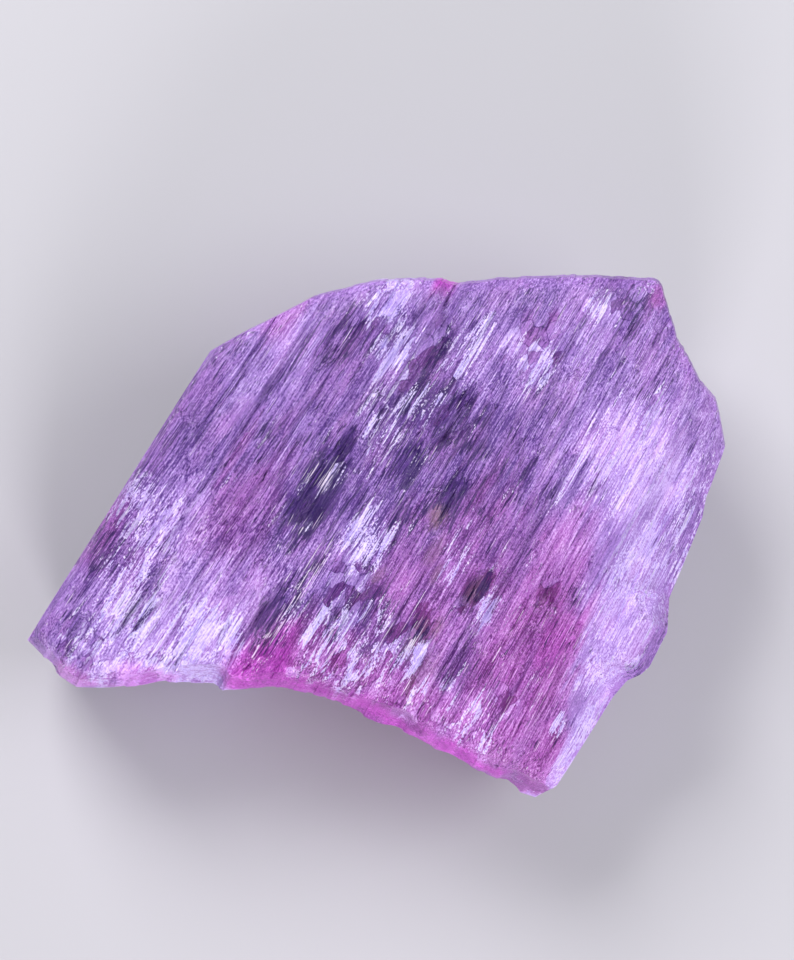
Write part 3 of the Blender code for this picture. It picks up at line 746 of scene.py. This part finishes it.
def crystal_material():
    """The mix of clear gem and silky frost."""
    material = bpy.data.materials.new(SLOT)
    material.use_nodes = True
    tree = material.node_tree
    tree.nodes.clear()
    start = Wire(tree)
    grain = start.node("ShaderNodeAttribute", {"attribute_name": "grain"}, output=1)

    def painted(name):
        """A number that was painted on the points."""
        return start.node("ShaderNodeAttribute", {"attribute_name": name}, output=2)

    def drawn_out(width, length, shift):
        """The place in laths, squeezed so that a pattern comes out that wide and long, in millimetres."""
        inputs = {"Vector": grain, "Location": (shift, 0, 0), "Scale": (1 / width, 1 / length, 1 / width)}
        return start.node("ShaderNodeMapping", {}, inputs)

    def streaks(width, length, shift, detail=2.0):
        """Soft noise drawn out along the laths, from -0.5 to 0.5."""
        inputs = {"Vector": drawn_out(width, length, shift), "Scale": 1.0, "Detail": detail}
        return start.node("ShaderNodeTexNoise", {}, inputs) - 0.5

    def blades(width, length, shift):
        """Pointed laths with crisp edges, each with its own tone, from -0.5 to 0.5."""
        inputs = {"Vector": drawn_out(width, length, shift), "Scale": 1.0}
        return start.node("ShaderNodeTexVoronoi", {}, inputs, output=1) - 0.5

    pale, ice, painted_shade, blush, hot, warm, calm, needle_glints, chips = [painted(name) for name in ZONES]
    rim_share = painted("rim")
    level = painted("level") - 0.5
    cloud = streaks(3.0, 5.0, 13.0)
    broad = streaks(1.4, 9.0, 1.0)
    wide = blades(0.75, 5.0, 3.0)
    narrow = blades(0.24, 2.6, 5.0)
    hair = streaks(0.085, 3.0, 7.0, detail=1.0)
    thread = streaks(0.16, 5.0, 11.0, detail=1.0)
    crumb = streaks(0.11, 0.2, 9.0)
    grit = streaks(0.32, 0.45, 43.0) * rim_share
    slit = streaks(0.13, 2.2, 19.0, detail=1.0)
    splinter = streaks(0.1, 3.8, 27.0, detail=0.0)
    cluster = streaks(1.6, 3.2, 31.0)

    # Chips are cells of a bent grid: each has its own tone, and a dark seam where the cells meet.
    bent = start.node("ShaderNodeTexNoise", {}, {"Vector": drawn_out(0.9, 0.9, 41.0), "Scale": 1.0}, output=1)
    chip_place = start.node("ShaderNodeVectorMath", {"operation": "MULTIPLY_ADD"}, {
        0: bent, 1: (0.6, 0.6, 0.6), 2: drawn_out(1.0, 1.5, 37.0),
    })
    flat = {"voronoi_dimensions": "2D"}
    chip_inputs = {"Vector": chip_place, "Scale": 1.0}
    chip_tone = start.node("ShaderNodeTexVoronoi", flat, chip_inputs, output=1) - 0.5
    to_seam = start.node("ShaderNodeTexVoronoi", {**flat, "feature": "DISTANCE_TO_EDGE"}, chip_inputs)
    chipped = (chips + 0.5 * narrow + 0.6 * cluster).eased(0.42, 0.56)
    chip_tone = chip_tone * chipped
    seam = (1.0 - to_seam.eased(0.01, 0.06)) * chipped * (0.7 + 2.0 * cluster).clipped()

    flank = (calm + 0.5 * wide + 0.5 * narrow).eased(0.4, 0.6)
    strength = 0.8 + 0.5 * needle_glints.clipped() - 0.3 * flank
    fine = 2.1 * hair + 1.9 * crumb + 1.5 * grit
    streak = (1.0 - 0.5 * flank) * (0.32 * wide + 0.36 * narrow + 0.5 * thread) + fine + 0.1 * level
    light = 0.35 + 0.52 * pale - 0.24 * painted_shade + 0.5 * cloud + 0.4 * broad
    light = light + strength * (1.0 - 0.35 * chipped) * streak
    light = (light + 0.85 * chip_tone - 0.5 * seam).clipped()
    red = (blush * (1.0 - 0.8 * flank) + 0.7 * cloud + 0.3 * wide - 0.9 * chip_tone + 0.08).clipped()
    crust = ice + 0.7 * wide + 0.7 * narrow + 0.9 * crumb + 0.5 * hair + 0.4 * cluster
    crust = (crust + 1.2 * grit + 0.5 * chip_tone).eased(0.52, 0.64)
    chalk = (0.35 + 2.2 * hair + 2.0 * crumb + 0.5 * narrow + 0.6 * cluster).clipped()
    # Painted shade: indigo in the dark windows of clear spots, and in clustered dark slits.
    window_shade = (painted_shade + 0.8 * wide + 0.9 * narrow + 1.3 * hair + 0.8 * thread + 0.5 * crumb).eased(0.58, 0.72)
    slit_shade = (0.22 * painted_shade + 0.6 * cluster - slit - 0.05 * pale).eased(0.19, 0.25)
    # Painted highlight: white glint lines along the needles.
    glint = (splinter + 0.13 * needle_glints + 0.25 * cluster).eased(0.31, 0.37)

    deep = red.blend(VIOLET[0], MAGENTA[0])
    mid = red.blend(VIOLET[1], MAGENTA[1])
    high = red.blend(VIOLET[2], MAGENTA[2])
    skin = light.eased(0.0, 0.5).blend(deep, mid)
    skin = light.eased(0.5, 1.0).blend(skin, high)
    skin = (0.7 * warm).blend(skin, TAN)
    skin = (0.3 * rim_share).blend(skin, RIM_VIOLET)
    # Painted shade: indigo over the dark windows.
    skin = (0.85 * window_shade).blend(skin, SHADE_INDIGO)
    skin = ((0.8 - 0.3 * flank) * crust).blend(skin, chalk.blend(ICE_BLUE, ICE_WHITE))
    skin = (0.85 * hot).blend(skin, light.blend(*HOT_MAGENTA))
    # Painted shade: indigo in the slits.
    skin = ((0.85 - 0.3 * pale) * slit_shade).blend(skin, SHADE_INDIGO)
    # Painted glints in white.
    skin = (0.7 * glint).blend(skin, GLINT_WHITE)
    body = red.blend(CLEAR_VIOLET, CLEAR_MAGENTA)
    body = hot.blend(body, CLEAR_HOT)
    # Painted shade in the clear body under the dark windows.
    body = window_shade.blend(body, CLEAR_SHADE_INDIGO)

    cover = 0.84 + 0.1 * pale + 0.15 * crust + 0.1 * window_shade + 0.15 * rim_share
    cover = (cover - 0.1 * red + 0.3 * glint).clipped()
    relief = 0.4 * narrow + 1.1 * hair + 1.1 * crumb - 0.5 * slit_shade + 0.25 * glint + 1.5 * grit
    bump = start.node("ShaderNodeBump", {}, {
        "Strength": BUMP_STRENGTH, "Distance": BUMP_DEPTH, "Height": relief,
    })
    rough = 0.36 + 0.12 * crust + 0.14 * flank

    clear = start.node("ShaderNodeBsdfPrincipled", {}, {
        "Base Color": body, "Roughness": GEM_ROUGHNESS, "IOR": REFRACTIVE_INDEX, "Transmission Weight": 1.0,
        "Normal": bump,
    })
    frosted = start.node("ShaderNodeBsdfPrincipled", {}, {
        "Base Color": skin, "Roughness": rough, "IOR": REFRACTIVE_INDEX, "Normal": bump,
        "Specular IOR Level": FROST_SHINE,
    })
    surface = start.node("ShaderNodeMixShader", {}, {0: cover, 1: clear, 2: frosted})
    inside = start.node("ShaderNodeVolumeAbsorption", {}, {"Color": ABSORBED, "Density": ABSORPTION})
    start.node("ShaderNodeOutputMaterial", {}, {"Surface": surface, "Volume": inside})
    print("material nodes:", len(tree.nodes))
    return material


SPODUMENE = crystal_material()
crystal.data.materials.append(SPODUMENE)
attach(crystal, "root")
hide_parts(NODE)

# %% [markdown]
# ## Slivers
#
# Etching leaves thin splinters of the laths lying on the face, and each catches the light on its own. There
# are far too many to place by hand, so Geometry Nodes scatter them: points on the upward faces, one small
# six-sided splinter on each, turned to follow its lath, and at the end everything made into real mesh. The
# top is cut level with the highest laths, so the crystal grows no thicker.

# %% Scatter slivers over the face
SLIVER_DENSITY = 0.9 / MM**2
SLIVER_LEAST = (0.08 * MM, 0.6 * MM, 0.05 * MM)
SLIVER_MOST = (0.3 * MM, 2.6 * MM, 0.15 * MM)
SLIVER_TILT = math.radians(2.5)
# A sliver rolls about its length by this many times as much as it tips and turns.
ROLL_PER_TILT = 3.0
SLIVER_SEED = 4
SLIVER_FROM_HEIGHT = 12.0 * MM
# Only faces whose normal points up by more than this get slivers.
UPWARD = 0.93
FACES_OF_ONE = 8


def make_splinter():
    """One splinter of unit size: a six-sided plate with a smaller top."""
    ring = [(0.0, -0.5), (0.5, -0.36), (0.5, 0.3), (0.1, 0.5), (-0.5, 0.34), (-0.5, -0.3)]
    low = [(x, y, -0.5) for x, y in ring]
    high = [(0.6 * x, 0.88 * y, 0.5) for x, y in ring]
    sides = [(n, (n + 1) % 6, 6 + (n + 1) % 6, 6 + n) for n in range(6)]
    mesh = bpy.data.meshes.new("splinter")
    mesh.from_pydata(low + high, [], [(5, 4, 3, 2, 1, 0), (6, 7, 8, 9, 10, 11), *sides])
    return bpy.data.objects.new("splinter", mesh)


def sliver_tree():
    """Geometry nodes that scatter splinters over the upward faces of a mesh."""
    tree = bpy.data.node_groups.new("slivers", "GeometryNodeTree")
    kinds = {
        "Geometry": "NodeSocketGeometry", "Splinter": "NodeSocketObject", "Density": "NodeSocketFloat",
        "Least": "NodeSocketVector", "Most": "NodeSocketVector", "Tilt": "NodeSocketFloat",
        "Top": "NodeSocketFloat", "Seed": "NodeSocketInt", "Material": "NodeSocketMaterial",
    }
    for name, kind in kinds.items():
        tree.interface.new_socket(name, in_out="INPUT", socket_type=kind)
    tree.interface.new_socket("Geometry", in_out="OUTPUT", socket_type="NodeSocketGeometry")
    start = Wire(tree)
    entry = tree.nodes.new("NodeGroupInput")
    given = {name: Wire(tree, entry.outputs[name]) for name in kinds}

    def part_of(vector, axis):
        return start.node("ShaderNodeSeparateXYZ", {}, {0: vector}, output=axis)

    place = start.node("GeometryNodeInputPosition")
    upward = part_of(start.node("GeometryNodeInputNormal"), 2).maths_above(UPWARD)
    high_up = part_of(place, 2).maths_above(SLIVER_FROM_HEIGHT)
    at_rim = start.node("GeometryNodeInputNamedAttribute", {"data_type": "FLOAT"}, {"Name": "rim"})
    chosen = upward * high_up * (1.0 - at_rim.maths_above(0.0))
    points = start.node("GeometryNodeDistributePointsOnFaces", {}, {
        "Mesh": given["Geometry"], "Selection": chosen, "Density": given["Density"],
        "Seed": given["Seed"],
    })
    grain = start.node("GeometryNodeInputNamedAttribute", {"data_type": "FLOAT_VECTOR"}, {"Name": "grain"})
    lean = LEAN_MIDDLE + LEAN_GROWTH * part_of(grain, 0)
    tilts = start.node("FunctionNodeRandomValue", {"data_type": "FLOAT_VECTOR"}, {
        0: (-1.0, -1.0, -1.0), 1: (1.0, 1.0, 1.0), "Seed": given["Seed"],
    })
    turn = start.node("ShaderNodeCombineXYZ", {}, {
        0: part_of(tilts, 0) * given["Tilt"],
        1: ROLL_PER_TILT * (part_of(tilts, 1) * given["Tilt"]),
        2: lean + part_of(tilts, 2) * given["Tilt"],
    })
    size = start.node("FunctionNodeRandomValue", {"data_type": "FLOAT_VECTOR"}, {
        0: given["Least"], 1: given["Most"], "Seed": given["Seed"] + 1,
    })
    splinter = start.node("GeometryNodeObjectInfo", {}, {"Object": given["Splinter"]}, output="Geometry")
    placed_splinters = start.node("GeometryNodeInstanceOnPoints", {}, {
        "Points": points, "Instance": splinter, "Scale": size,
        "Rotation": start.node("FunctionNodeEulerToRotation", {}, {0: turn}),
    })
    real = start.node("GeometryNodeRealizeInstances", {}, {"Geometry": placed_splinters})
    lowered = start.node("ShaderNodeCombineXYZ", {}, {
        0: part_of(place, 0), 1: part_of(place, 1),
        2: start.maths("MINIMUM", part_of(place, 2), given["Top"]),
    })
    cut = start.node("GeometryNodeSetPosition", {}, {"Geometry": real, "Position": lowered})
    coated = start.node("GeometryNodeSetMaterial", {}, {"Geometry": cut, "Material": given["Material"]})
    start.node("NodeGroupOutput", {}, {"Geometry": coated})
    return tree


def make_slivers():
    """Runs the tree on a copy of the crystal and keeps the result as a plain mesh."""
    host = bpy.data.objects.new("sliver_host", crystal.data.copy())
    bpy.context.scene.collection.objects.link(host)
    splinter = make_splinter()
    modifier = host.modifiers.new("slivers", "NODES")
    modifier.node_group = sliver_tree()
    values = {
        "Splinter": splinter, "Density": SLIVER_DENSITY, "Least": SLIVER_LEAST, "Most": SLIVER_MOST,
        "Tilt": SLIVER_TILT, "Top": THICKNESS * MM, "Seed": SLIVER_SEED, "Material": SPODUMENE,
    }
    for item in modifier.node_group.interface.items_tree:
        if item.in_out == "INPUT" and item.name in values:
            modifier[item.identifier] = values[item.name]
    evaluated = host.evaluated_get(bpy.context.evaluated_depsgraph_get())
    mesh = bpy.data.meshes.new_from_object(evaluated)
    bpy.data.objects.remove(host)
    bpy.data.objects.remove(splinter)
    for name in [a.name for a in mesh.attributes if a.name in (*ZONES, "rim", "level", "grain")]:
        mesh.attributes.remove(mesh.attributes[name])
    paint_zones(mesh)
    slivers = bpy.data.objects.new("slivers", mesh)
    bpy.context.scene.collection.objects.link(slivers)
    print("slivers:", len(mesh.polygons) // FACES_OF_ONE)
    return slivers


slivers = make_slivers()
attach(slivers, "root")

# %% [markdown]
# ## Floor
#
# The crystal lies on its flat back on a plain grey floor, which is large enough to fill every view. A single
# square does for that. It belongs to the stage and not to the crystal.

# %% Lay the floor
FLOOR_SIZE = 2.0
FLOOR_COLOUR = (0.44, 0.44, 0.46, 1.0)
FLOOR_ROUGHNESS = 0.7


def make_floor():
    """One large square under the crystal."""
    mesh = bpy.data.meshes.new("floor")
    shape = bmesh.new()
    bmesh.ops.create_grid(shape, x_segments=1, y_segments=1, size=FLOOR_SIZE)
    shape.to_mesh(mesh)
    shape.free()
    material = bpy.data.materials.new("floor")
    material.use_nodes = True
    shader = material.node_tree.nodes["Principled BSDF"]
    shader.inputs["Base Color"].default_value = FLOOR_COLOUR
    shader.inputs["Roughness"].default_value = FLOOR_ROUGHNESS
    mesh.materials.append(material)
    floor = bpy.data.objects.new("floor", mesh)
    bpy.context.scene.collection.objects.link(floor)


make_floor()
print("floor, in m:", 2 * FLOOR_SIZE)

# %% [markdown]
# ## Light
#
# A soft light from the upper left shows the laths, a wider and weaker one from the right opens the shadows,
# and a low narrow one from the break end makes the clear edges glow. A dim world lights the rest. The camera
# is turned so that the grooves lean to the right, so the lamps are placed by what the picture shows: to its
# right, up in it, and over it.

# %% Set up the lights
CAMERA_TURN = math.radians(32.4)
AXIS_RIGHT = (math.cos(CAMERA_TURN), math.sin(CAMERA_TURN))
AXIS_UP = (-math.sin(CAMERA_TURN), math.cos(CAMERA_TURN))
# Each lamp's place (right, up and height, in metres), its width in metres, its watts and its colour.
LAMPS = {
    "key": ((-0.18, 0.34, 0.30), 0.22, 2.8, (1.0, 0.98, 1.0)),
    "fill": ((0.34, 0.02, 0.32), 0.34, 1.5, (0.97, 0.96, 1.0)),
    "break_end": ((0.0, -0.36, 0.14), 0.14, 1.3, (1.0, 0.95, 1.0)),
}
WORLD_COLOUR = (0.92, 0.93, 1.0, 1.0)
WORLD_STRENGTH = 0.25


def picture_point(right, up, height):
    """A point over the floor, given as the picture shows it."""
    return (
        AXIS_RIGHT[0] * right + AXIS_UP[0] * up,
        AXIS_RIGHT[1] * right + AXIS_UP[1] * up,
        height,
    )


def make_light(name, place, size, power, colour):
    """A soft square lamp that faces the crystal."""
    data = bpy.data.lights.new(name, "AREA")
    data.size, data.energy, data.color = size, power, colour
    lamp = bpy.data.objects.new(name, data)
    lamp.location = place
    lamp.rotation_mode = "QUATERNION"
    lamp.rotation_quaternion = (-lamp.location).to_track_quat("-Z", "Y")
    bpy.context.scene.collection.objects.link(lamp)


for name, (place, size, power, colour) in LAMPS.items():
    make_light(name, picture_point(*place), size, power, colour)
    print("lamp", name, "of", power, "W")

world = bpy.data.worlds.new("studio")
world.use_nodes = True
world.node_tree.nodes["Background"].inputs["Color"].default_value = WORLD_COLOUR
world.node_tree.nodes["Background"].inputs["Strength"].default_value = WORLD_STRENGTH
bpy.context.scene.world = world
bpy.context.scene.view_settings.view_transform = "Standard"

# %% [markdown]
# ## Camera
#
# The camera looks straight down on the striated face through a long lens, which keeps the outline free of
# perspective. The crystal isn't quite in the middle of the picture, so the camera stands a little to one side
# of it.

# %% Place the camera
CAMERA_HEIGHT = 0.419
LENS = 180.0
CLIP_START = 0.005
CLIP_END = 10.0
# Where the middle of the picture lies from the crystal's origin, to the right and up in the picture.
PICTURE_RIGHT = -2.1 * MM
PICTURE_UP = 3.4 * MM


def make_camera():
    """A camera over the crystal that looks straight down."""
    data = bpy.data.cameras.new("camera")
    data.lens = LENS
    data.clip_start, data.clip_end = CLIP_START, CLIP_END
    camera = bpy.data.objects.new("camera", data)
    camera.location = picture_point(PICTURE_RIGHT, PICTURE_UP, CAMERA_HEIGHT)
    camera.rotation_euler = (0.0, 0.0, CAMERA_TURN)
    bpy.context.scene.collection.objects.link(camera)
    bpy.context.scene.camera = camera


make_camera()
print("camera height, in m:", CAMERA_HEIGHT)

# %% [markdown]
